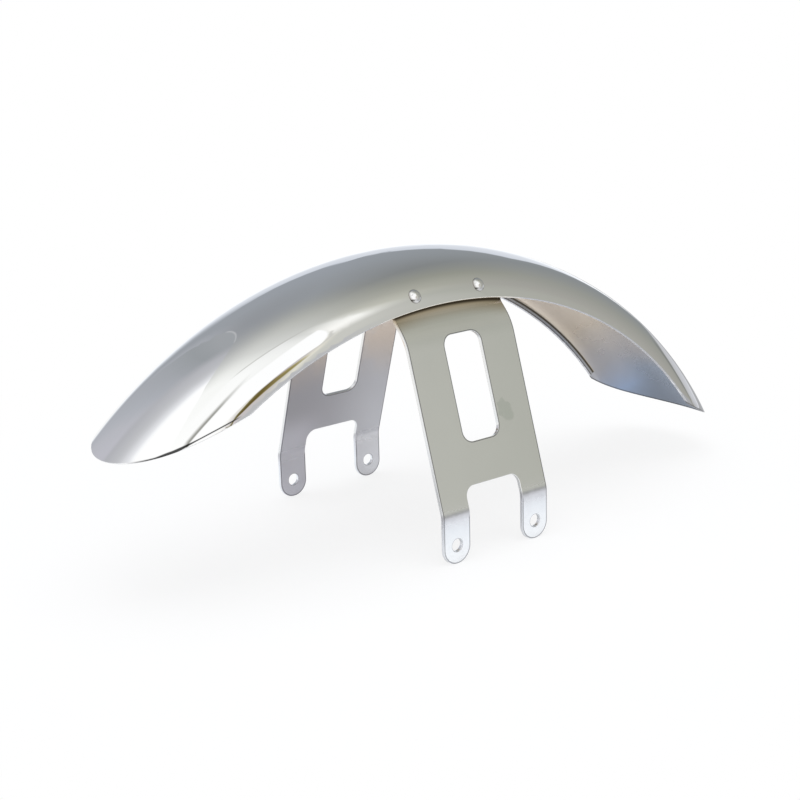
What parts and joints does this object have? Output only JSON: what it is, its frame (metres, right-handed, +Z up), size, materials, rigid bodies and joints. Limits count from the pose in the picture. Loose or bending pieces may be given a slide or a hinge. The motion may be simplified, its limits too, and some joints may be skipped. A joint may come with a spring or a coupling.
{
  "type": "motorcycle front mudguard",
  "caption": "Chromed steel mudguard for a motorcycle's front wheel: a rounded, arched shell riveted to a bent bracket whose windowed legs splay down to round-ended bolt tabs.",
  "frame": {"origin": "middle of the four bolt holes in the bracket's tabs, on the wheel's middle plane", "axes": "+X forward to the rounded nose, +Y to the rider's left along the wheel's axle, +Z up"},
  "size_m": [0.5739, 0.2062, 0.2116],
  "materials": {
    "shell_chrome": "bright plated, polished outside and duller inside",
    "bracket_chrome": "bright plated over plain sheet",
    "rivet_chrome": "bright plated"
  },
  "bodies": {
    "root": {"fender_shell": "shell_chrome", "bracket": "bracket_chrome", "rivets": "rivet_chrome"}
  },
  "joints": []
}
